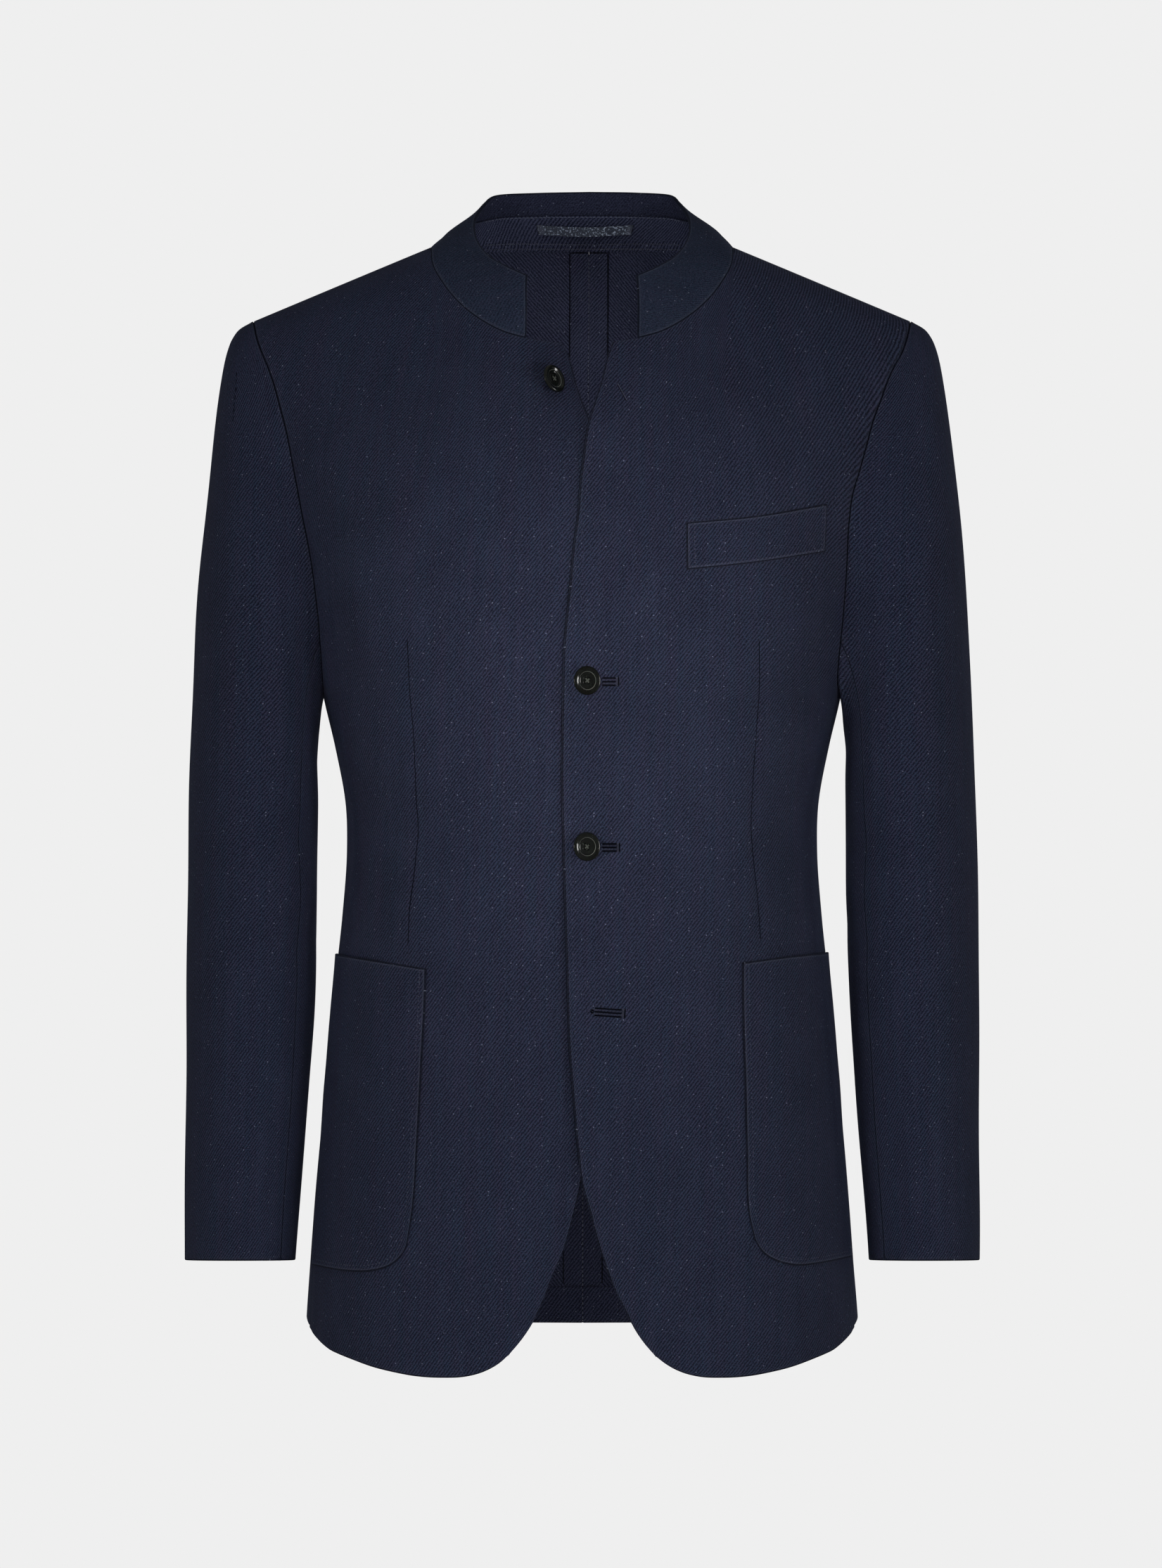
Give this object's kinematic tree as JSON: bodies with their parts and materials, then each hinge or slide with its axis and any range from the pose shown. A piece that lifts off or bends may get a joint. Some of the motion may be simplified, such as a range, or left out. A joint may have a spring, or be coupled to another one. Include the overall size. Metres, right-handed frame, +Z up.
{
  "type": "stand-collar jacket",
  "caption": "Long-sleeved wool jacket with a low stand collar, open at the throat, patch pockets, a breast welt and rounded front hems.",
  "frame": {"origin": "middle of the neck, level with the points where the shoulder seams meet the collar, where the jacket hangs on its wearer", "axes": "+Z up, -Y to the front of the jacket, +X to the wearer's left"},
  "size_m": [0.5536, 0.2756, 0.8254],
  "materials": {
    "wool_twill": "navy wool twill, dry and slightly napped",
    "collar_wool": "navy wool, smoother and darker, softly napped",
    "loop_tape": "blue-grey woven tape with a slight shine",
    "button_horn": "near-black, polished, dished inside a raised rim"
  },
  "bodies": {
    "root": {"back_hem_left": "wool_twill", "back_hem_right": "wool_twill", "back_left": "wool_twill", "back_right": "wool_twill", "back_seam_left": "wool_twill", "back_seam_right": "wool_twill", "breast_welt": "wool_twill", "button_bottom": "button_horn", "button_lower": "button_horn", "button_top": "button_horn", "button_upper": "button_horn", "collar": "collar_wool", "front_left": "wool_twill", "front_right": "wool_twill", "hanger_loop": "loop_tape", "neck_band": "wool_twill", "pocket_left": "wool_twill", "pocket_right": "wool_twill", "sleeve_left_top": "wool_twill", "sleeve_left_under": "wool_twill", "sleeve_right_top": "wool_twill", "sleeve_right_under": "wool_twill"}
  },
  "joints": []
}
